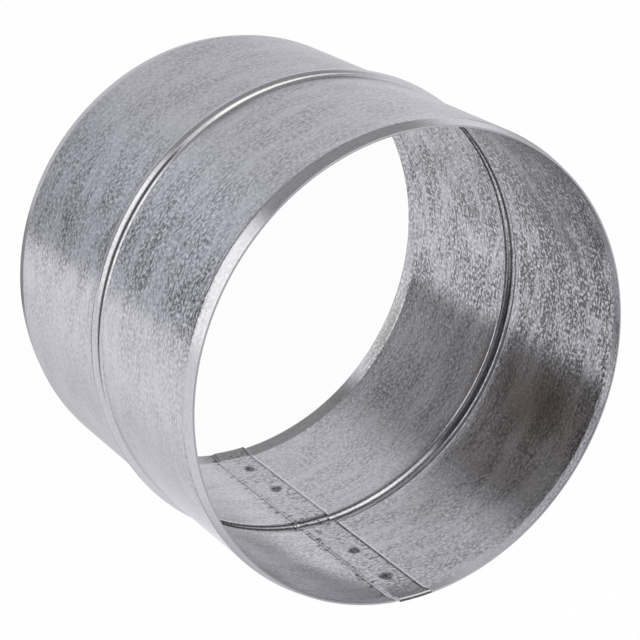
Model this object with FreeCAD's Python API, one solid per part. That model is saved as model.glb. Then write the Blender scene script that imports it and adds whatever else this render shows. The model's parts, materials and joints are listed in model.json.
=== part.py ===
import FreeCAD
import Part
import math
import os

os.makedirs("parts", exist_ok=True)

# Duct connector: one strip of zinc-coated sheet rolled into a tube, its ends lapped and spot welded
# Millimetres, axis on +Z, origin at the middle of the lower rim, the seam on the +Y side

# Duct that slides on from either end, and the slip left all round
duct_bore = 125.0
slip = 0.5

# Sheet and tube
sheet = 0.5
length = 100.0
wall_radius = duct_bore / 2 - slip

# Stop bead rolled outward at mid length
bead_height = 1.35
bead_flank = 34.0
bead_foot_radius = 1.0
bead_inside_radius = 1.5

# Edges turned in a little, so a duct starts easily
edge_length = 3.8
edge_depth = 0.9

# Lap seam: the outer layer eases out, the inner layer steps in under it
seam_angle = 90.0
lap_width = 9.2
lap_gap = 0.1
lap_rise = 0.25
ease_angle = 30.0
step_run = 1.6

# Spot welds down the middle of the lap, two below the bead and two above it
welds_from_lower_rim = (12.0, 27.0)
welds_from_upper_rim = (30.0, 13.5)
weld_diameter = 4.0
dent_diameter = 4.4
dent_depth = 0.12

up = FreeCAD.Vector(0, 0, 1)
centre = FreeCAD.Vector(0, 0, 0)
middle = length / 2
flank = math.radians(bead_flank)
turn = math.atan2(edge_depth, edge_length)

# The crest is round enough for both layers of the lap to follow it
crest_radius = bead_inside_radius + 2 * sheet + lap_gap
crest_loss = crest_radius * (1 / math.cos(flank) - 1)
bead_half = (bead_height + crest_loss) / math.tan(flank)


def heading(angle):
    # Unit vector at this many degrees from +X
    return FreeCAD.Vector(math.cos(math.radians(angle)), math.sin(math.radians(angle)), 0)


def corners(depth):
    # Radius, height and bend of each corner of the line lying this deep under the outside of the wall
    rim = wall_radius - edge_depth - depth / math.cos(turn)
    wall = wall_radius - depth
    knee = edge_length + depth * math.tan(turn / 2)
    foot = bead_half - depth * math.tan(flank / 2)
    peak = wall_radius + bead_half * math.tan(flank) - depth / math.cos(flank)
    return [
        (rim, 0.0, 0.0),
        (wall, knee, 0.0),
        (wall, middle - foot, bead_foot_radius + depth),
        (peak, middle, crest_radius - depth),
        (wall, middle + foot, bead_foot_radius + depth),
        (wall, length - knee, 0.0),
        (rim, length, 0.0),
    ]


def rounded(points):
    # Straight edges from corner to corner, with a tangent arc at each corner that has a bend
    spots = [FreeCAD.Vector(r, 0, z) for r, z, bend in points]
    edges = []
    start = spots[0]
    for i in range(1, len(points)):
        corner = spots[i]
        bend = points[i][2]
        if bend == 0:
            edges.append(Part.LineSegment(start, corner).toShape())
            start = corner
            continue
        back = (spots[i - 1] - corner).normalize()
        ahead = (spots[i + 1] - corner).normalize()
        half = back.getAngle(ahead) / 2
        enter = corner + back * (bend / math.tan(half))
        leave = corner + ahead * (bend / math.tan(half))
        touch = corner + (back + ahead).normalize() * (bend / math.sin(half) - bend)
        edges.append(Part.LineSegment(start, enter).toShape())
        edges.append(Part.Arc(enter, touch, leave).toShape())
        start = leave
    return edges


def layer(depth):
    # Closed section of one sheet whose outer side lies this deep, in the XZ plane
    outer = corners(depth)
    inner = corners(depth + sheet)
    foot = [FreeCAD.Vector(p[0][0], 0, 0) for p in (inner, outer)]
    head = [FreeCAD.Vector(p[-1][0], 0, length) for p in (outer, inner)]
    edges = rounded(outer)
    edges.append(Part.LineSegment(head[0], head[1]).toShape())
    edges += rounded(inner[::-1])
    edges.append(Part.LineSegment(foot[0], foot[1]).toShape())
    return Part.Wire(edges)


def placed(wire, angle, shift):
    # The section turned about +Z, then carried sideways
    copy = wire.copy()
    copy.rotate(centre, up, angle)
    copy.translate(shift)
    return copy


# The outer end of the sheet rolls on a slightly larger circle, tangent to the tube where it begins to ease
ease = math.radians(ease_angle)
rise_square = 2 * wall_radius * lap_rise + lap_rise ** 2
reach = 2 * rise_square / (1 - math.cos(ease))
widening = (math.sqrt(wall_radius ** 2 + reach) - wall_radius) / 2
lap_angle = math.degrees(lap_width / (wall_radius + widening))
ease_start = seam_angle - lap_angle / 2 + ease_angle
lap_start = ease_start - ease_angle
lap_axis = heading(ease_start) * -widening
lap_shift = lap_axis + heading(lap_start) * widening

# Where the free outer edge stands about the tube axis, and where the wall starts to step in before it
free_edge = lap_shift + heading(lap_start) * wall_radius
edge_angle = math.degrees(math.atan2(free_edge.y, free_edge.x))
step_start = edge_angle - math.degrees(step_run / wall_radius)

# Rolled sheet: eased outer end, round tube, step, inner end of the lap
plain = layer(0.0)
under = layer(sheet + lap_gap)
joint = Part.Face(placed(plain, ease_start, centre))
outer_end = joint.revolve(lap_axis, up, -ease_angle)
tube = joint.revolve(centre, up, 360 + step_start - ease_start)
wall_end = placed(plain, step_start, centre)
inner_start = placed(under, lap_start, lap_shift)
step = Part.makeLoft([wall_end, inner_start], True, True)
inner_end = Part.Face(inner_start).revolve(lap_axis, up, lap_angle)
connector = tube.fuse([outer_end, step, inner_end])

# Spot welds join the two layers across the gap
out = heading(lap_start + lap_angle / 2)
face_radius = wall_radius + widening
back_radius = face_radius - 2 * sheet - lap_gap
ball_radius = (dent_diameter ** 2 / 4 + dent_depth ** 2) / (2 * dent_depth)
weld_heights = list(welds_from_lower_rim) + [length - down for down in welds_from_upper_rim]
nuggets = []
dents = []
for height in weld_heights:
    spot = lap_axis + up * height
    weld_foot = spot + out * (back_radius + sheet / 2)
    nuggets.append(Part.makeCylinder(weld_diameter / 2, sheet + lap_gap, weld_foot, out))
    dents.append(Part.makeSphere(ball_radius, spot + out * (back_radius - ball_radius + dent_depth)))
    dents.append(Part.makeSphere(ball_radius, spot + out * (face_radius + ball_radius - dent_depth)))
connector = connector.fuse(nuggets).cut(dents).removeSplitter()

connector = connector.Solids[0]
connector.exportStep("parts/duct_connector.step")
print("volume", round(connector.Volume, 1), "valid", connector.isValid())
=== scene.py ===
import json
import math

import bpy
import numpy as np
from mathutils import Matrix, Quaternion, Vector


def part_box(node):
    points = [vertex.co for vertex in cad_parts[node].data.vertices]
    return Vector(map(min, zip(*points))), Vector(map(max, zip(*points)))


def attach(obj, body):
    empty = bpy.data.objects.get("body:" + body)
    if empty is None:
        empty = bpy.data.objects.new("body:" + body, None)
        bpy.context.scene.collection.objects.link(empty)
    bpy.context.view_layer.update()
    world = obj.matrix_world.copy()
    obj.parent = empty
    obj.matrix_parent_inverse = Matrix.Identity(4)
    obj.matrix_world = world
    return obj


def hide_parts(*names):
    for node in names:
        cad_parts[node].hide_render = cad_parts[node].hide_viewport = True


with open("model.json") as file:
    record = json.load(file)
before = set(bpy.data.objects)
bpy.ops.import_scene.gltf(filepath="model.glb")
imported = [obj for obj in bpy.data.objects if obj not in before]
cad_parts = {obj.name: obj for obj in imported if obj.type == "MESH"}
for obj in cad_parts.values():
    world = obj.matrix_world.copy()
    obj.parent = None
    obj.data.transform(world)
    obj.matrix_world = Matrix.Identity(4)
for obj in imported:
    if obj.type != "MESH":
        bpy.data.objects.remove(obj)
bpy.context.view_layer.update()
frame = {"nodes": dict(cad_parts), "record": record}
print("frame loaded:", sorted(frame["nodes"]))

mm = 0.001  # the dictionaries below are in millimetres and degrees
farOff = 1000.0  # stands for a place that isn't on the lap, or not on this layer of it

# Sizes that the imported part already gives
boxLow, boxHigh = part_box("duct_connector")
spigot = next(m for m in frame["record"]["mounts"] if m["name"] == "upper_spigot")
wallRadius = spigot["dims"]["r_mm"]
tubeLength = (boxHigh.z - boxLow.z) / mm
middle = tubeLength / 2
beadHeight = boxHigh.x / mm - wallRadius


def operator(name):  # a Python operator that adds a Math node
    def apply(self, other):  # the operation on this wire and the other value
        return self.math(name, self, other)
    return apply


class Wire:  # a shader socket that can stand in Python sums
    def __init__(self, tree, socket=None):
        self.tree = tree
        self.socket = socket

    def node(self, kind, settings, inputs, output=0):  # settings first, then socket values or links
        made = self.tree.nodes.new("ShaderNode" + kind)
        for name, value in settings.items():
            setattr(made, name, value)
        for name, value in inputs.items():
            if isinstance(value, Wire):
                self.tree.links.new(value.socket, made.inputs[name])
            else:
                made.inputs[name].default_value = value
        return Wire(self.tree, made.outputs[output] if len(made.outputs) else None)

    def math(self, operation, *values):  # the operation on these values, in their order
        return self.node("Math", dict(operation=operation), dict(enumerate(values)))

    def ramp(self, start, end):  # eased step from 0 at start to 1 at end
        sockets = {"Value": self, "From Min": start, "From Max": end}
        return self.node("MapRange", dict(interpolation_type="SMOOTHSTEP"), sockets)

    def blend(self, first, second):  # colour mix, with this wire as the factor
        return self.node("Mix", dict(data_type="RGBA"), {0: self, 6: first, 7: second}, output=2)

    __add__ = __radd__ = operator("ADD")
    __mul__ = operator("MULTIPLY")
    __sub__ = operator("SUBTRACT")


def newMaterial(name):  # an empty node tree to wire up
    material = bpy.data.materials.new(name)
    material.use_nodes = True
    material.node_tree.nodes.clear()
    return material, Wire(material.node_tree)


def shown(name, data):  # puts a mesh or a camera in the scene
    made = bpy.data.objects.new(name, data)
    bpy.context.scene.collection.objects.link(made)
    return made


def pointMark(mesh, name, value):  # a number at every point that a material can read
    field = mesh.attributes.new(name, "FLOAT", "POINT")
    field.data.foreach_set("value", value.ravel().astype(np.float32))


def tone(level, tint=(1, 1, 1)):  # opaque colour: level x tint
    return tuple(level * t for t in tint) + (1.0,)


def eased(share):  # 3s^2 - 2s^3, held between 0 and 1
    share = np.clip(share, 0, 1)
    return share * share * (3 - 2 * share)


def bell(place, centre, width):  # e to the power of minus the square of the distance in widths
    return np.exp(-((place - centre) / width) ** 2)


def stretch(place, start, rise, end, fall):  # eased in over the rise after start x out over the fall to end
    return eased((place - start) / rise) * eased((end - place) / fall)


# The connector: one strip of sheet, rolled, beaded, turned in at the edges and lapped
connector = dict(
    sheet=0.5,
    edgeLength=3.8,
    edgeDepth=0.9,
    kneeBend=4.0,  # soft bend where the turned-in edge starts
    beadFlank=46.0,
    beadFootBend=1.5,
    beadCrestBend=2.8,
    seamAngle=90.0,
    lapWidth=9.2,
    lapGap=0.1,
    lapRise=0.25,
    easeAngle=30.0,
    stepRun=1.6,
    cutBevel=0.06,  # burr taken off the cut edges
    weldHeights=(12.0, 27.0, 70.0, 86.5),
    dentDiameter=4.4,
    dentDepth=0.12,
    dentSlope=0.9,  # run of the side of a dent
    dentLip=0.03,
    dentLipPlace=0.58,  # raised lip round a dent, in dent diameters from its middle
    dentLipWidth=0.45,
    upperOval=(0.0041, -83.0),  # out of round: share of the radius, heading of the long axis
    lowerOval=(0.0105, -56.0),
    waveHeight=0.025,  # shallow flats left by the rolls, for each unit of their sum
    waveTurns=(5, 7, 11, 16),  # waves once round the tube
    waveLean=2.5,  # most half turns that a wave leans along the tube
    waveShift=2.0,  # more than the sum can reach, so that the flats only go in
    waveSeed=7,
    # Rows and columns of points on each stretch of the strip, and where they lie
    lipCount=5,
    lipShares=(0.06, 0.85),  # of the turned-in edge
    kneeCount=7,
    wallCount=42,
    footCount=9,
    crestCount=19,
    weldReach=0.62,  # rows crowd this many dent diameters round a weld
    weldCrowd=5.0,  # rows added there for each row elsewhere
    lapCount=30,
    lapShares=(0.03, 0.97),
    easeStart=2.0,  # degrees past the lap
    easeCount=14,
    tubeCount=210,
    stepCount=14,
    foldColumns=(0.1, 0.2, 0.3, 0.45, 0.65, 0.9, 1.2, 1.6),  # millimetres from a fold
)


def crowded(start, end, count, spots, reach, gain):
    # Heights from start to end whose spacing shrinks by the gain within reach of each spot:
    # the running sum of a density with a bell at each spot, read back at even shares
    fineSteps = 4000
    fine = np.linspace(start, end, fineSteps)
    density = np.ones_like(fine)
    for spot in spots:
        density += gain * np.exp(-((fine - spot) / reach) ** 4)
    share = np.concatenate([[0], np.cumsum((density[1:] + density[:-1]) / 2)])
    return np.interp(np.linspace(0, 1, count), share / share[-1], fine)


def sectionLine(size):
    # Outside line of the section from the lower to the upper rim, as radius, height and tilt of the normal:
    # straight runs joined by arcs, a point of an arc being its centre plus or minus radius x normal
    turn = math.atan2(size["edgeDepth"], size["edgeLength"])
    flank = math.radians(size["beadFlank"])
    knee, foot, crest = size["kneeBend"], size["beadFootBend"], size["beadCrestBend"]
    beadHalf = (beadHeight + crest * (1 / math.cos(flank) - 1)) / math.tan(flank)
    kneeHeight = size["edgeLength"] + knee * math.tan(turn / 2)
    footHeight = middle - beadHalf - foot * math.tan(flank / 2)

    kneeTilt = np.linspace(-turn, 0, size["kneeCount"])
    kneeRadius = wallRadius - knee + knee * np.cos(kneeTilt)
    kneeZ = kneeHeight + knee * np.sin(kneeTilt)
    rimRadius = wallRadius - size["edgeDepth"]
    lipRun = math.hypot(kneeRadius[0] - rimRadius, kneeZ[0])
    lipEven = np.linspace(*size["lipShares"], size["lipCount"])
    lip = np.concatenate([[0.0, size["cutBevel"] / lipRun], lipEven])
    lipRadius = rimRadius + lip * (kneeRadius[0] - rimRadius)
    lipZ = lip * kneeZ[0]
    welds = np.array(size["weldHeights"])
    lowWelds = welds[welds < middle]
    highWelds = tubeLength - welds[welds > middle]
    reach = size["dentDiameter"] * size["weldReach"]
    count, gain = size["wallCount"], size["weldCrowd"]
    lowWall = crowded(kneeHeight, footHeight, count, lowWelds, reach, gain)[1:-1]
    highWall = tubeLength - crowded(footHeight, kneeHeight, count, highWelds, reach, gain)[1:-1]
    footTilt = np.linspace(0, -flank, size["footCount"])
    footRadius = wallRadius + foot - foot * np.cos(footTilt)
    footZ = footHeight - foot * np.sin(footTilt)
    crestTilt = np.linspace(-flank, flank, size["crestCount"])
    crestRadius = wallRadius + beadHeight - crest + crest * np.cos(crestTilt)
    crestZ = middle + crest * np.sin(crestTilt)

    lipTilt = np.full(len(lip), turn)
    radius = [lipRadius, kneeRadius, 0 * lowWall + wallRadius, footRadius, crestRadius,
              footRadius[::-1], 0 * highWall + wallRadius, kneeRadius[::-1], lipRadius[::-1]]
    height = [lipZ, kneeZ, lowWall, footZ, crestZ,
              tubeLength - footZ[::-1], highWall, tubeLength - kneeZ[::-1], tubeLength - lipZ[::-1]]
    tilt = [-lipTilt, kneeTilt, 0 * lowWall, footTilt, crestTilt,
            -footTilt[::-1], 0 * highWall, -kneeTilt[::-1], lipTilt]
    return np.concatenate(radius), np.concatenate(height), np.concatenate(tilt), turn


def sectionLoop(size):
    # The closed section, once round: up the outside, over the upper cut edge, down the inside and back
    # under the lower one. A row has a point of the outside line, the way into the sheet and how deep it is
    radius, height, tilt, turn = sectionLine(size)
    inR, inZ = -np.cos(tilt), -np.sin(tilt)
    inR[[0, -1]] = -1 / math.cos(turn)  # the rims are cut square to the axis
    inZ[[0, -1]] = 0
    face = np.arange(1, len(radius) - 1)
    bevel = size["cutBevel"] / size["sheet"]
    edge = np.array([bevel, 0.5, 1 - bevel])
    cut = len(edge)
    row = np.concatenate([face, np.full(cut, len(radius) - 1), face[::-1], np.zeros(cut, int)])
    share = np.concatenate([0.0 * face, edge, 0.0 * face + 1, edge[::-1]])
    return dict(
        radius=radius[row],
        height=height[row],
        inR=inR[row],
        inZ=inZ[row],
        share=share,
        face=len(face),
        cut=cut,
    )


def stripPath(size):
    # Columns along the strip from its outer free edge to its inner one: the heading, the axis that the
    # column stands round, how far it is moved out and how deep it lies. The lap rolls on a slightly larger
    # circle, tangent to the tube where it eases out, and the step slides between the two on an eased ramp
    ease = math.radians(size["easeAngle"])
    rise = size["lapRise"]
    reach = 2 * (2 * wallRadius * rise + rise ** 2) / (1 - math.cos(ease))
    widening = (math.sqrt(wallRadius ** 2 + reach) - wallRadius) / 2
    lapRadius = wallRadius + widening
    degree = lapRadius * math.radians(1)  # millimetres to a degree
    lapAngle = size["lapWidth"] / degree
    lapStart = size["seamAngle"] - lapAngle / 2
    easeEnd = lapStart + size["easeAngle"]
    away = math.radians(easeEnd)
    lapAxis = -widening * np.array([math.cos(away), math.sin(away)])
    along = math.radians(lapStart)
    freeEdge = lapAxis + lapRadius * np.array([math.cos(along), math.sin(along)])
    edgeAngle = math.degrees(math.atan2(freeEdge[1], freeEdge[0]))
    stepStart = 360 + edgeAngle - math.degrees(size["stepRun"] / wallRadius)

    brink = size["cutBevel"] / degree / lapAngle
    lapEven = np.linspace(*size["lapShares"], size["lapCount"])
    lapColumns = lapStart + np.concatenate([[0, brink], lapEven, [1 - brink, 1]]) * lapAngle
    closeBy = np.array(size["foldColumns"]) / degree
    easeEven = np.linspace(size["easeStart"], easeEnd - lapStart - lapAngle, size["easeCount"])
    easeColumns = lapStart + lapAngle + np.concatenate([closeBy, easeEven])
    tubeEven = np.linspace(easeEnd, stepStart - closeBy[-1], size["tubeCount"])[1:]
    tubeColumns = np.concatenate([tubeEven, stepStart - closeBy[::-1][1:], [stepStart]])
    stepShare = np.linspace(0, 1, size["stepCount"])[1:]
    stepColumns = stepStart + stepShare * (360 + lapStart - stepStart)
    innerColumns = 360 + lapColumns[1:]

    heading = np.concatenate([lapColumns, easeColumns, tubeColumns, stepColumns, innerColumns])
    outerEnd = len(lapColumns) + len(easeColumns)
    outerLayer = np.arange(len(heading)) < outerEnd
    onLap = np.concatenate([np.ones(outerEnd), 0 * tubeColumns, eased(stepShare), np.ones(len(innerColumns))])
    inside = np.where(outerLayer, 0, onLap)
    turned = np.where(outerLayer, heading, heading - 360)
    offset = (turned - size["seamAngle"]) * degree
    pastEdge = (turned - lapStart - lapAngle) * degree
    pastStep = (heading - stepStart) * degree
    return dict(
        heading=np.radians(heading),
        axis=onLap[:, None] * lapAxis,
        widen=onLap * widening,
        inside=inside,
        depth=inside * (size["sheet"] + size["lapGap"]),
        offset=np.where(onLap == 1, offset, farOff),
        pastEdge=np.where(outerLayer, pastEdge, farOff),
        pastStep=np.where(outerLayer, farOff, pastStep),
    )


def weldDistance(size, path, loop):  # distance of each point of the lap from the nearest spot weld
    near = np.full((len(path["offset"]), len(loop["height"])), farOff)
    for height in size["weldHeights"]:
        near = np.minimum(near, np.hypot(path["offset"][:, None], loop["height"][None] - height))
    return near


def ovalTurn(size, x, y, z):
    # Pulls each height into a slight oval: a symmetric 2 x 2 stretch whose long axis keeps its length,
    # shared between the two rims in step with the height
    share = z / tubeLength
    cosine = 0
    sine = 0
    for (amount, angle), part in ((size["lowerOval"], 1 - share), (size["upperOval"], share)):
        cosine = cosine + part * amount * math.cos(math.radians(2 * angle))
        sine = sine + part * amount * math.sin(math.radians(2 * angle))
    longest = 1 + np.hypot(cosine, sine)
    return ((1 + cosine) * x + sine * y) / longest, (sine * x + (1 - cosine) * y) / longest


def rollWaves(size, heading, z):
    # Shallow flats: a sum of a few long sines round and along the tube, each weaker by the root of its
    # turns, moved in so that none stands proud
    draw = np.random.default_rng(size["waveSeed"])
    lean = size["waveLean"]
    total = 0
    for turns in size["waveTurns"]:
        phase, slope = draw.uniform(0, 2 * math.pi), draw.uniform(-lean, lean)
        total = total + np.sin(turns * heading + slope * z / tubeLength * math.pi + phase) / turns ** 0.5
    return size["waveHeight"] * (total - size["waveShift"])


def sheetSurface(size):
    # The whole strip at once: axis + direction of the heading x (radius + depth x way in + widening + waves),
    # with the dents of the welds worked into the depth on the outermost and the innermost face, then pulled
    # into the oval
    loop = sectionLoop(size)
    path = stripPath(size)
    gap = weldDistance(size, path, loop)
    bowl = size["dentDepth"] * eased((size["dentDiameter"] / 2 - gap) / size["dentSlope"])
    lipPlace = size["dentLipPlace"] * size["dentDiameter"]
    dent = bowl - size["dentLip"] * bell(gap, lipPlace, size["dentLipWidth"])
    depth = path["depth"][:, None] + loop["share"][None] * size["sheet"]
    depth = depth + np.where((path["inside"][:, None] == 0) & (loop["share"][None] == 0), dent, 0)
    depth = depth - np.where((path["inside"][:, None] == 1) & (loop["share"][None] == 1), dent, 0)
    reach = loop["radius"] + loop["inR"] * depth + path["widen"][:, None]
    z = loop["height"] + loop["inZ"] * depth
    reach = reach + rollWaves(size, path["heading"][:, None], z)
    x = path["axis"][:, :1] + np.cos(path["heading"])[:, None] * reach
    y = path["axis"][:, 1:] + np.sin(path["heading"])[:, None] * reach
    x, y = ovalTurn(size, x, y, z)
    return np.stack([x, y, z], axis=-1) * mm, path, loop, gap


def stripFaces(columns, loop):
    # Quads between neighbouring columns and rows, the rows closing on themselves, and a cap across the
    # sheet at each free edge that pairs the rows of its two faces
    rows = len(loop["share"])
    j, i = np.meshgrid(np.arange(columns - 1), np.arange(rows), indexing="ij")
    quadColumn = np.stack([j, j + 1, j + 1, j], axis=-1).reshape(-1, 4)
    quadRow = np.stack([i, i, i + 1, i + 1], axis=-1).reshape(-1, 4)
    count, cut = loop["face"], loop["cut"]
    outer = np.arange(count)
    inner = count + cut + outer[::-1]
    strip = np.stack([outer[:-1], outer[1:], inner[1:], inner[:-1]], axis=-1)
    upper = np.concatenate([[count - 1], np.arange(count, count + cut), [inner[-1]]])
    lower = np.concatenate([[inner[0]], np.arange(2 * count + cut, rows), [0]])
    last = (columns - 1) * rows
    caps = strip.tolist() + [upper.tolist(), lower.tolist()]
    caps += (last + strip[:, ::-1]).tolist()
    caps += [(last + upper[::-1]).tolist(), (last + lower[::-1]).tolist()]
    return quadColumn, quadRow, caps


# Marks on the coat, placed and weighed until the render came near the photograph. The dark ones in the groove
# and at the foot of the bead are painted shade, the dark lines along the seam are painted shade, and the
# light lines beside them are painted highlights. A line is its place and width, a step is where it starts or
# ends and its run, and an arc is a start and its run, then an end and its run
wear = dict(
    # How coarse the crystals look, by heading, on each side of the sheet
    outerGrain=((0, 0.35), (40, 0.35), (120, 0.5), (200, 0.5), (275, 0.5), (306, 0.5), (318, 0.6),
                (327, 0.85), (337, 0.9), (351, 0.42), (360, 0.35)),
    innerGrain=((0, 0.5), (55, 0.5), (120, 0.5), (132, 0.8), (159, 0.9), (164, 1.05), (178, 1.3),
                (222, 1.25), (250, 0.6), (360, 0.5)),
    outerSmooth=0.65,  # share of the grain that is lost on the worked edges and the bead
    innerSmooth=0.4,
    innerHalves=(0.85, 0.25),  # grain inside the lower half, and what the upper half adds
    kneeMargin=1.0,  # the grain comes back from this far short of the bend
    beadMargin=2.4,  # and from this far off the middle of the bead
    upperRun=4.0,  # the upper half comes on over this height
    lapReach=5.0,  # half of the lap, with a margin
    # Painted shade and painted highlights along the seam's free edge, its step and its upper cut edges
    paintedEdgeShade=(3.75, 0.3),  # a step that starts this far from the middle of the lap
    edgeHalves=(0.6, 0.4),
    paintedEdgeHighlight=(1.15, 0.2),  # a step that ends this far past the lap
    paintedEdgeHighlightShare=0.55,
    paintedStepShade=(0.1, 0.22),
    paintedStepHighlight=(0.7, 0.25),
    paintedStepHighlightShare=0.4,
    paintedStepShadeOutside=(1.5, 0.25),  # the same step, seen on the outside
    paintedCutHighlightShare=0.5,
    # Painted shade in the groove of the bead, inside, and at the foot of the bead, outside
    lowGrooveShade=(48.65, 0.55),
    lowGrooveArc=(126, 8, 182, 12),
    lowGrooveShadeLineShare=0.95,
    lowGrooveShadeShare=0.75,
    highGrooveShade=(50.35, 0.5),
    highGrooveArc=(100, 10, 172, 10),
    highGrooveShadeLineShare=0.9,
    foot=53.1,
    footWidths=(0.35, 2.0),  # below it and above it
    footArc=(245, 15, 306, 14),
    footShadeShare=0.9,
    smudges=((197, 80, 8, 7), (207, 70, 6, 4)),  # heading, height, half width, half height
    rubbedArc=(-3.0, 2.0, 12.5, 2.0),  # millimetres past the step
    rubbedLine=(0.4, 1.3),
    rubbedLineShare=0.6,
    rubbedHalves=(0.4, 0.6),
    heatReach=3.2,
    scorch=(1.9, 0.8),
    # painted shade at the upper end of the lap
    paintedLapEndShade=(90.0, 3.0),
)


def coatMarks(size, marks, path, loop, gap):
    # Marks that the finish reads: each a bell or an eased step at its place, x the faces it shows on,
    # x the arc it reaches over, and a weighted sum where several share a colour
    blank = 0 * gap
    height = loop["height"][None]
    angle = np.degrees(path["heading"])[:, None] % 360 + blank
    offset, pastEdge, pastStep = (path[name][:, None] for name in ("offset", "pastEdge", "pastStep"))
    outward = loop["share"][None] == 0
    inward = loop["share"][None] == 1
    face = np.where(outward | inward, 1.0, 0.0)
    onLap = np.abs(offset) < marks["lapReach"]
    innerLayer = path["inside"][:, None] == 1
    upper = eased((height - middle) / marks["upperRun"])

    def halves(name):  # the lower half's share, plus what the upper half adds
        lowShare, more = marks[name]
        return lowShare + more * upper

    # Grain, smoother where the metal was worked
    outerGrain, innerGrain = (np.interp(angle, *zip(*marks[name])) for name in ("outerGrain", "innerGrain"))
    fromEnd = np.minimum(height, tubeLength - height)
    plain = eased(fromEnd - size["edgeLength"] + marks["kneeMargin"])
    plain = plain * eased(np.abs(height - middle) - marks["beadMargin"])
    grain = np.where(outward, outerGrain, innerGrain) * face
    grain = grain * (1 - (1 - plain) * np.where(inward, marks["innerSmooth"], marks["outerSmooth"]))
    grain = grain * np.where(inward, halves("innerHalves"), 1)

    # Seam: painted shade and highlights at its edges and step, scratches, painted shade at the lap's end,
    # scorch
    edgePlace, edgeRun = marks["paintedEdgeShade"]
    paintedEdgeShade = eased((offset - edgePlace) / edgeRun) * onLap * innerLayer * inward * halves("edgeHalves")
    highlightEnd, highlightRun = marks["paintedEdgeHighlight"]
    paintedEdgeHighlight = eased((highlightEnd - pastEdge) / highlightRun) * inward
    paintedStepShade = bell(pastStep, *marks["paintedStepShade"]) * inward
    paintedStepHighlight = bell(pastStep, *marks["paintedStepHighlight"]) * inward
    paintedStepShadeOutside = bell(pastStep, *marks["paintedStepShadeOutside"]) * outward
    topCut = (1 - face) * (height > middle) * onLap
    rubbed = stretch(pastStep, *marks["rubbedArc"]) * inward
    rubbedLine = bell(pastStep, *marks["rubbedLine"]) * inward * halves("rubbedHalves")
    lapEndStart, lapEndRun = marks["paintedLapEndShade"]
    scorchEnd, scorchRun = marks["scorch"]

    # Bead: painted shade in the groove and at the foot of the bead, and smudges
    lowGrooveShade = bell(height, *marks["lowGrooveShade"]) * inward * stretch(angle, *marks["lowGrooveArc"])
    highGrooveShade = bell(height, *marks["highGrooveShade"]) * inward * stretch(angle, *marks["highGrooveArc"])
    below, above = marks["footWidths"]
    footWidth = np.where(height < marks["foot"], below, above)
    foot = bell(height, marks["foot"], footWidth) * outward * stretch(angle, *marks["footArc"])
    smudge = 0
    for heading, level, wide, tall in marks["smudges"]:
        smudge = smudge + bell(angle, heading, wide) * bell(height, level, tall)

    # Painted shade, near black: at the free edge, the step, the outer layer's upper cut edge and the groove
    paintedShadeAndScratches = paintedEdgeShade + paintedStepShade + paintedStepShadeOutside + topCut * (1 - innerLayer)
    paintedShadeAndScratches = paintedShadeAndScratches + marks["lowGrooveShadeLineShare"] * lowGrooveShade + marks["highGrooveShadeLineShare"] * highGrooveShade
    # Painted highlights past the free edge and beside the step, and below on the inner layer's upper cut edge
    paintedHighlight = marks["paintedStepHighlightShare"] * paintedStepHighlight + marks["paintedEdgeHighlightShare"] * paintedEdgeHighlight
    return dict(
        cut=1 - face + blank,
        heat=bell(gap, 0, marks["heatReach"]) * face,
        scorch=eased((scorchEnd - gap) / scorchRun) * face,
        grain=grain,
        paintedShadeAndScratches=paintedShadeAndScratches,
        paintedHighlight=paintedHighlight + marks["paintedCutHighlightShare"] * topCut * innerLayer,
        # painted shade in the groove and at the foot of the bead
        paintedBeadShade=marks["lowGrooveShadeShare"] * lowGrooveShade + marks["footShadeShare"] * foot,
        # painted shade at the upper end of the lap
        paintedLapEndShade=eased((height - lapEndStart) / lapEndRun) * onLap * inward,
        rubbed=rubbed + marks["rubbedLineShare"] * rubbedLine,
        smudge=smudge * inward,
    )


def runningLength(points):  # sum of the distances from point to point
    return np.concatenate([[0], np.cumsum(np.linalg.norm(np.diff(points, axis=0), axis=1))])


def rolledSheet(name, size, marks):
    # Mesh of the strip: its points column by column, so that a point's number is column x rows + row
    points, path, loop, gap = sheetSurface(size)
    columns, rows = points.shape[:2]
    quadColumn, quadRow, caps = stripFaces(columns, loop)
    quads = quadColumn * rows + quadRow % rows
    mesh = bpy.data.meshes.new(name)
    mesh.from_pydata(points.reshape(-1, 3).tolist(), [], quads.tolist() + caps)
    smooth = np.ones(len(mesh.polygons), bool)
    smooth[len(quads):] = False
    mesh.polygons.foreach_set("use_smooth", smooth)

    # UV map in metres: along the strip, and once round its section
    wallRow = loop["face"] // 4  # on the plain wall of the lower half
    ringColumn = columns // 2
    along = runningLength(points[:, wallRow])
    around = runningLength(np.concatenate([points[ringColumn], points[ringColumn, :1]]))
    uv = np.zeros((len(mesh.loops), 2))
    uv[:quads.size, 0] = along[quadColumn].ravel()
    uv[:quads.size, 1] = around[quadRow].ravel()
    capPoint = np.array([k for cap in caps for k in cap])
    uv[quads.size:, 0] = along[capPoint // rows] + loop["share"][capPoint % rows] * size["sheet"] * mm
    uv[quads.size:, 1] = around[capPoint % rows]
    mesh.uv_layers.new(name="strip").data.foreach_set("uv", uv.ravel())

    for mark, value in coatMarks(size, marks, path, loop, gap).items():
        pointMark(mesh, mark, value)
    mesh.validate()
    print(name, "columns", columns, "rows", rows, "faces", len(mesh.polygons))
    return shown(name, mesh)


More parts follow.
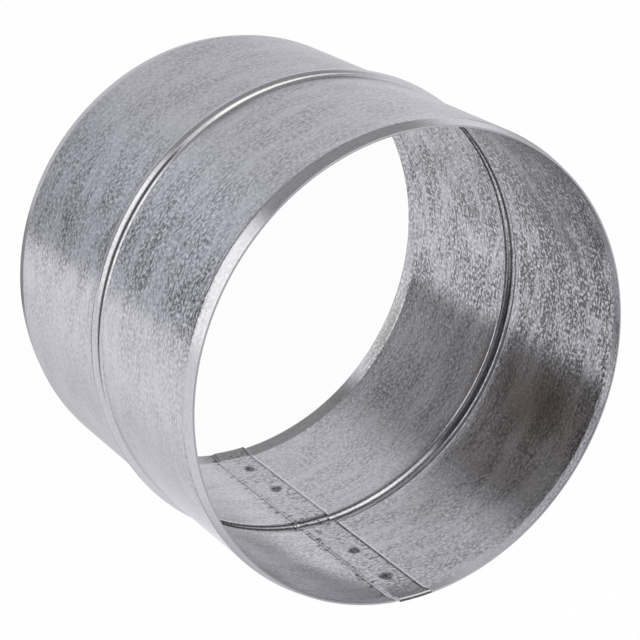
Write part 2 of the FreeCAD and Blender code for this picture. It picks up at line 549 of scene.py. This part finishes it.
# Hot-dip zinc: satin grey with fine crystals drawn out along the rolling direction
zinc = dict(
    colours=dict(
        bare=(0.62, 0.62, 0.64),
        # dark: specks, smudges, and painted shade at the lap's end, in the groove and at the foot of the bead
        dark=(0.16, 0.157, 0.16),
        heat=(0.36, 0.28, 0.25),
        scorch=(0.035, 0.03, 0.027),
        # near black: painted shade along the seam and in the groove, and the colour of scratches
        paintedShadeAndScratches=(0.045, 0.045, 0.045),
        # painted highlights along the seam and its cut edge, and painted glints on the crystals
        paintedHighlight=(0.85, 0.85, 0.86),
        cut=(0.42, 0.42, 0.43),
    ),
    # Noises: millimetres across the strip, times as long along it, octaves and roughness
    noises=dict(
        crystals=(0.8, 1.25, 2.0, 0.6),
        streaks=(0.6, 5.0, 2.0, 0.5),
        smears=(2.6, 3.5, 2.0, 0.55),
        clouds=(9.0, 2.4, 3.0, 0.5),
        nicks=(0.8, 2.6, 3.0, 0.65),
        patches=(5.0, 1.8, 3.0, 0.6),
    ),
    gritShares=(0.75, 0.25),  # of crystals and of streaks
    speckSpan=(0.65, 0.35),  # grit at which a speck starts and is full
    speckShares=(0.9, 0.1),  # of the specks, and of an even film
    smearSpan=(0.64, 0.38),
    cloudSpan=(0.62, 0.4),
    blotchShares=(0.45, 0.45, 0.4),  # of smears, of clouds and everywhere
    # painted glints on the brightest crystals
    paintedGlintSpan=(0.56, 0.72),  # grit at which a crystal shines
    paintedGlintShare=0.6,
    nickMore=0.06,  # more nicks where the sheet is rubbed
    roughness=0.15,
    cloudRoughness=0.1,
    speckRoughness=0.1,
    reliefHeight=0.032,  # of the crystals, millimetres
    reliefShares=(0.7, 0.3),  # with the grain, and everywhere
    # Layers over the coat in their order: the mark, its colour, the share that is even, and the noise that
    # adds a share over a span. Within keeps the layer to where a second noise is high
    layers=(
        dict(mark="smudge", colour="dark", even=0.0, noise="patches", span=(0.3, 0.56), share=0.8),
        dict(mark="heat", colour="heat", even=0.0, noise="smears", span=(0.3, 0.6), share=0.8),
        # painted shade at the upper end of the lap
        dict(mark="paintedLapEndShade", colour="dark", even=0.45),
        dict(mark="rubbed", colour="paintedShadeAndScratches", even=0.0, noise="nicks", span=(0.61, 0.66), share=0.75,
             within="smears", withinSpan=(0.4, 0.54)),
        dict(mark="cut", colour="cut", even=1.0),
        # painted shade in the groove and at the foot of the bead
        dict(mark="paintedBeadShade", colour="dark", even=0.5, noise="clouds", span=(0.3, 0.6), share=0.5),
        # painted highlights
        dict(mark="paintedHighlight", colour="paintedHighlight", even=1.0),
        dict(mark="scorch", colour="scorch", even=0.5, noise="grit", span=(0.66, 0.46), share=0.5),
        # painted shade along the seam and in the groove
        dict(mark="paintedShadeAndScratches", colour="paintedShadeAndScratches", even=0.55, noise="streaks", span=(0.3, 0.6), share=0.4),
    ),
)


def zincFinish(values):
    # Colour: bare zinc, darkened by grain x blotch x speck and lightened by painted glints on the brightest
    # crystals, then layer over layer, each mixed in by its mark x (even share + share x noise)
    material, wires = newMaterial("zincCoat")
    strip = wires.node("UVMap", dict(uv_map="strip"), {})
    colours = {name: tone(1, colour) for name, colour in values["colours"].items()}

    def mark(name):  # the number that the mesh carries under this name
        return wires.node("Attribute", dict(attribute_name=name), {}, output="Fac")

    def speckle(size, stretched, detail, rough):  # noise of the place on the strip / the size of a speck
        scale = (1 / (size * stretched * mm), 1 / (size * mm), 0)
        place = wires.node("VectorMath", dict(operation="MULTIPLY"), {0: strip, 1: scale})
        sockets = {"Vector": place, "Scale": 1.0, "Detail": detail, "Roughness": rough}
        return wires.node("TexNoise", dict(noise_dimensions="2D"), sockets)

    noise = {name: speckle(*settings) for name, settings in values["noises"].items()}
    crystalShare, streakShare = values["gritShares"]
    grit = noise["crystals"] * crystalShare + noise["streaks"] * streakShare
    noise["grit"] = grit
    noise["nicks"] = noise["nicks"] + mark("rubbed") * values["nickMore"]

    # Dark share: how coarse the coat is here x how deep this speck is, under smears and cloudy patches
    smearShare, cloudShare, evenShare = values["blotchShares"]
    smeared = noise["smears"].ramp(*values["smearSpan"]) * smearShare
    blotch = smeared + noise["clouds"].ramp(*values["cloudSpan"]) * cloudShare + evenShare
    speckShare, filmShare = values["speckShares"]
    faded = mark("grain") * blotch * (grit.ramp(*values["speckSpan"]) * speckShare + filmShare)
    colour = faded.blend(colours["bare"], colours["dark"])
    # Painted glints: the brightest crystals mixed toward the painted highlight colour
    light = mark("grain") * grit.ramp(*values["paintedGlintSpan"]) * values["paintedGlintShare"]
    colour = light.blend(colour, colours["paintedHighlight"])

    for layer in values["layers"]:
        share = layer["even"]
        if "noise" in layer:
            share = noise[layer["noise"]].ramp(*layer["span"]) * layer["share"] + share
        if "within" in layer:
            share = share * noise[layer["within"]].ramp(*layer["withinSpan"])
        colour = (mark(layer["mark"]) * share).blend(colour, colours[layer["colour"]])

    cloudy = (noise["clouds"] - 0.5) * values["cloudRoughness"]  # either side of the noise's middle
    roughness = values["roughness"] + cloudy + faded * values["speckRoughness"]
    grainRelief, evenRelief = values["reliefShares"]
    height = grit * (mark("grain") * grainRelief + evenRelief)
    relief = {"Height": height, "Distance": values["reliefHeight"] * mm, "Strength": 1.0}
    sockets = {"Base Color": colour, "Metallic": 1.0, "Roughness": roughness,
               "Normal": wires.node("Bump", {}, relief)}
    wires.node("OutputMaterial", {}, {"Surface": wires.node("BsdfPrincipled", {}, sockets)})
    return material


# Stage: pale floor, and a white tent with soft panels that the metal mirrors
cool = (0.995, 0.985, 1.04)  # faint blue cast of the tent
blue = (0.95, 0.97, 1.07)
warm = (1.03, 1.0, 0.93)

stage = dict(
    floorSize=6.0,  # metres
    floorColour=tone(0.9),
    floorGlow=0.97,  # share of the floor that shows as plain white, the rest takes the shadow
    skyLight=1.0,
    tentLight=tone(0.95, cool),
    secondMirror=(1.2, 1.8),  # number of mirrors in a row over which a second panel comes on
)

# Flags and softboxes as the metal sees them from this camera, later ones over earlier ones: headings and
# elevations that they reach from and to, how soft each of those edges is, and the light they send
tent = [
    dict(heading=(-200, 200), soft=(1, 1), elevation=(-100, -70), blur=10, light=tone(0.70, cool)),
    dict(heading=(150, 300), soft=(40, 30), elevation=(-76, -54.5), blur=5, light=tone(0.69, cool)),
    dict(heading=(205, 300), soft=(20, 30), elevation=(-54.5, -50.5), blur=4, light=tone(0.83, cool)),
    dict(heading=(230, 300), soft=(40, 30), elevation=(-50.5, -42), blur=3, light=tone(0.71, cool)),
    dict(heading=(140, 194), soft=(30, 20), elevation=(-56, -52.3), blur=3, light=tone(0.76, cool)),
    dict(heading=(140, 194), soft=(30, 20), elevation=(-52.3, -44), blur=3, light=tone(0.45, cool)),
    dict(heading=(42, 150), soft=(40, 30), elevation=(-53.7, -51.2), blur=3, light=tone(1.08, cool)),
    dict(heading=(52, 150), soft=(40, 30), elevation=(-51.2, -40), blur=3, light=tone(0.57, cool)),
    dict(heading=(5, 70), soft=(10, 40), elevation=(-63, -54.5), blur=3, light=tone(1.02, cool)),
    dict(heading=(60, 150), soft=(40, 50), elevation=(-62, -53.4), blur=3, light=tone(0.75, cool)),
    dict(heading=(42, 115), soft=(20, 30), elevation=(-80, -62.5), blur=4, light=tone(0.33, cool)),
    dict(heading=(288, 371), soft=(50, 8), elevation=(-72, -59.2), blur=4, light=tone(0.49, blue)),
    dict(heading=(338, 371), soft=(16, 6), elevation=(-72, -59.2), blur=4, light=tone(0.36, blue)),
    dict(heading=(288, 367), soft=(50, 6), elevation=(-59.2, -54), blur=4, light=tone(1.06, blue)),
    dict(heading=(285, 364), soft=(40, 5), elevation=(-54, -39), blur=5, light=tone(0.23)),
    dict(heading=(222, 303), soft=(25, 10), elevation=(-42, 6), blur=6, light=tone(0.38)),
    dict(heading=(310, 358), soft=(14, 14), elevation=(-39, 8), blur=6, light=tone(1.5)),
    dict(heading=(226, 280), soft=(12, 10), elevation=(12, 50), blur=8, light=tone(1.7, warm)),
    dict(heading=(297, 400), soft=(10, 50), elevation=(14, 60), blur=5, light=tone(0.13)),
    dict(heading=(275, 418), soft=(20, 14), elevation=(2, 36), blur=8, light=tone(2.6), second=True),
]

# Dark card under the tube, a fan that the upper half of the inside mirrors through the lower opening. Turns
# are in degrees from its heading, distances in millimetres from its apex, and each start or end has a run
fan = dict(
    apex=(-25.4, 20.2),
    depth=30.0,  # under the floor, and seen by the metal alone
    heading=321.5,
    reach=(32.0, 87.0),
    spread=(-78.0, 100.0),
    light=tone(0.05, (1.55, 0.97, 0.6)),
    distanceCount=30,
    turnCount=60,
    mainCover=((0.6, -41, 25), (0.4, -4, 18)),  # share, and the turn at which it starts
    wingCover=(0.32, -78, 25, 58, 14),  # share, the turn at which it starts and the distance where it ends
    outerThin=(0.22, 20, 8, 52, 12),  # share taken off past this turn and this distance
    lateThin=(0.8, 32, 5),  # share taken off past this turn
    slit=(0.25, -6, 5),  # share taken off at this turn, and its width
    endFade=30.0,
    nearFade=7.0,
    farFade=6.0,
)


def studioFloor(values):
    # A flat square. Seen by the camera, also through glass, it is glow x white + (1 - glow) x matt. To
    # scattered light it is matt, and mirrored light passes it
    half = values["floorSize"] / 2
    mesh = bpy.data.meshes.new("floor")
    corners = [(-half, -half, 0), (half, -half, 0), (half, half, 0), (-half, half, 0)]
    mesh.from_pydata(corners, [], [(0, 1, 2, 3)])
    floor = shown("floor", mesh)
    floor.visible_glossy = False  # the metal sees the tent below the horizon too
    floor.visible_shadow = False
    material, wires = newMaterial("paleFloor")
    seen = 0.0
    for kind in ("Camera", "Glossy", "Transmission"):
        seen = wires.math("MAXIMUM", seen, wires.node("LightPath", {}, {}, output=f"Is {kind} Ray"))
    matt = wires.node("BsdfDiffuse", {}, {"Color": values["floorColour"]})
    glow = wires.node("Emission", {}, {"Color": tone(1.0), "Strength": 1.0})
    mixed = wires.node("MixShader", {}, {0: seen * values["floorGlow"], 1: matt, 2: glow})
    wires.node("OutputMaterial", {}, {"Surface": mixed})
    mesh.materials.append(material)
    return floor


def studioTent(values, panels):
    # Light of a direction: panel over panel, each mixed in by the product of its four eased edges. Only
    # mirrored light sees the panels, and all else sees an even sky
    world = bpy.data.worlds.new("tent")
    bpy.context.scene.world = world
    world.use_nodes = True
    world.cycles.sampling_method = "NONE"
    world.node_tree.nodes.clear()
    wires = Wire(world.node_tree)
    way = wires.node("TexCoord", {}, {}, output="Generated")
    x, y, z = (wires.node("SeparateXYZ", {}, {0: way}, output=k) for k in range(3))
    heading = wires.math("ARCTAN2", y, x) * math.degrees(1)
    elevation = wires.math("ARCSINE", z) * math.degrees(1)
    glossyDepth = wires.node("LightPath", {}, {}, output="Glossy Depth")
    light = values["tentLight"]
    for panel in panels:
        start, end = panel["heading"]
        low, high = panel["elevation"]
        half = (end - start) / 2
        soft = [s / 2 for s in panel["soft"]]
        blur = panel["blur"] / 2
        place = wires.math("WRAP", heading - (start + end) / 2, 180.0, -180.0)
        sides = place.ramp(-half - soft[0], -half + soft[0]) * place.ramp(half + soft[1], half - soft[1])
        mask = sides * elevation.ramp(low - blur, low + blur) * elevation.ramp(high + blur, high - blur)
        if panel.get("second"):  # shows only in the mirror of a mirror, as in the groove of the bead
            mask = mask * glossyDepth.ramp(*values["secondMirror"])
        light = mask.blend(light, panel["light"])
    glossy = wires.node("LightPath", {}, {}, output="Is Glossy Ray")
    sky = glossy.blend(tone(values["skyLight"]), light)
    background = wires.node("Background", {}, {"Color": sky, "Strength": 1.0})
    wires.node("OutputWorld", {}, {"Surface": background})
    return world


def fanCover(values, distance, turn):
    # How much of the card is there: the larger of the main cover and the wing, thinned in three places,
    # x an eased fade at its ends
    nearest, farthest = values["reach"]
    cover = 0
    for share, start, run in values["mainCover"]:
        cover = cover + share * eased((turn - start) / run)
    share, start, run, end, fall = values["wingCover"]
    cover = np.maximum(cover, share * eased((turn - start) / run) * eased((end - distance) / fall))
    share, start, run, outer, outerRun = values["outerThin"]
    cover = cover * (1 - share * eased((turn - start) / run) * eased((distance - outer) / outerRun))
    share, start, run = values["lateThin"]
    cover = cover * (1 - share * eased((turn - start) / run))
    share, place, width = values["slit"]
    cover = cover * (1 - share * bell(turn, place, width))
    cover = cover * eased((values["spread"][1] - turn) / values["endFade"])
    return cover * stretch(distance, nearest, values["nearFade"], farthest, values["farFade"])


def fanCard(values):
    # Points on rays from the apex: apex + distance x direction
    far = np.linspace(*values["reach"], values["distanceCount"])
    wide = np.linspace(*values["spread"], values["turnCount"])
    distance, turn = np.meshgrid(far, wide, indexing="ij")
    angle = np.radians(values["heading"] + turn)
    x = values["apex"][0] + distance * np.cos(angle)
    y = values["apex"][1] + distance * np.sin(angle)
    points = np.stack([x, y, 0 * x - values["depth"]], axis=-1) * mm
    j, i = np.meshgrid(np.arange(len(far) - 1), np.arange(len(wide) - 1), indexing="ij")
    corner = (j * len(wide) + i).ravel()
    faces = np.stack([corner, corner + len(wide), corner + len(wide) + 1, corner + 1], axis=-1)
    mesh = bpy.data.meshes.new("fan_card")
    mesh.from_pydata(points.reshape(-1, 3).tolist(), [], faces.tolist())
    pointMark(mesh, "cover", fanCover(values, distance, turn))
    card = shown("fan_card", mesh)
    card.visible_camera = False
    card.visible_diffuse = False
    card.visible_shadow = False
    material, wires = newMaterial("darkCard")
    cover = wires.node("Attribute", dict(attribute_name="cover"), {}, output="Fac")
    clear = wires.node("BsdfTransparent", {}, {})
    dark = wires.node("Emission", {}, {"Color": values["light"], "Strength": 1.0})
    mixed = wires.node("MixShader", {}, {0: cover, 1: clear, 2: dark})
    wires.node("OutputMaterial", {}, {"Surface": mixed})
    mesh.materials.append(material)
    return card


# Camera at the photograph's viewing angle, turned about its own axis
view = dict(
    heading=-38.45,
    elevation=54.30,
    distance=619.07,  # from the middle of the tube
    aim=(-0.73, 2.87, 51.72),
    roll=121.93,
    lens=135.27,
    sensor=36.0,
    nearest=10.0,  # what is nearer isn't drawn
)


def photoCamera(values):
    # Place: middle of the tube + distance x direction of the heading and elevation. It looks at the aim and
    # is then turned by the roll
    data = bpy.data.cameras.new("camera")
    data.lens = values["lens"]
    data.sensor_width = values["sensor"]
    data.clip_start = values["nearest"] * mm
    camera = shown("camera", data)
    heading, elevation = math.radians(values["heading"]), math.radians(values["elevation"])
    flat = math.cos(elevation)
    away = Vector((math.cos(heading) * flat, math.sin(heading) * flat, math.sin(elevation)))
    camera.location = Vector((0, 0, middle * mm)) + away * values["distance"] * mm
    sight = Vector(values["aim"]) * mm - camera.location
    upright = sight.to_track_quat("-Z", "Y")
    camera.rotation_mode = "QUATERNION"
    camera.rotation_quaternion = upright @ Quaternion((0, 0, 1), math.radians(values["roll"]))
    bpy.context.scene.camera = camera
    return camera


tube = rolledSheet("rolled_sheet", connector, wear)
tube.data.materials.append(zincFinish(zinc))
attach(tube, "root")
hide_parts("duct_connector")
print("connector ready")

studioFloor(stage)
studioTent(stage, tent)
fanCard(fan)
photoCamera(view)
bpy.context.scene.view_settings.view_transform = "Standard"
print("stage ready")
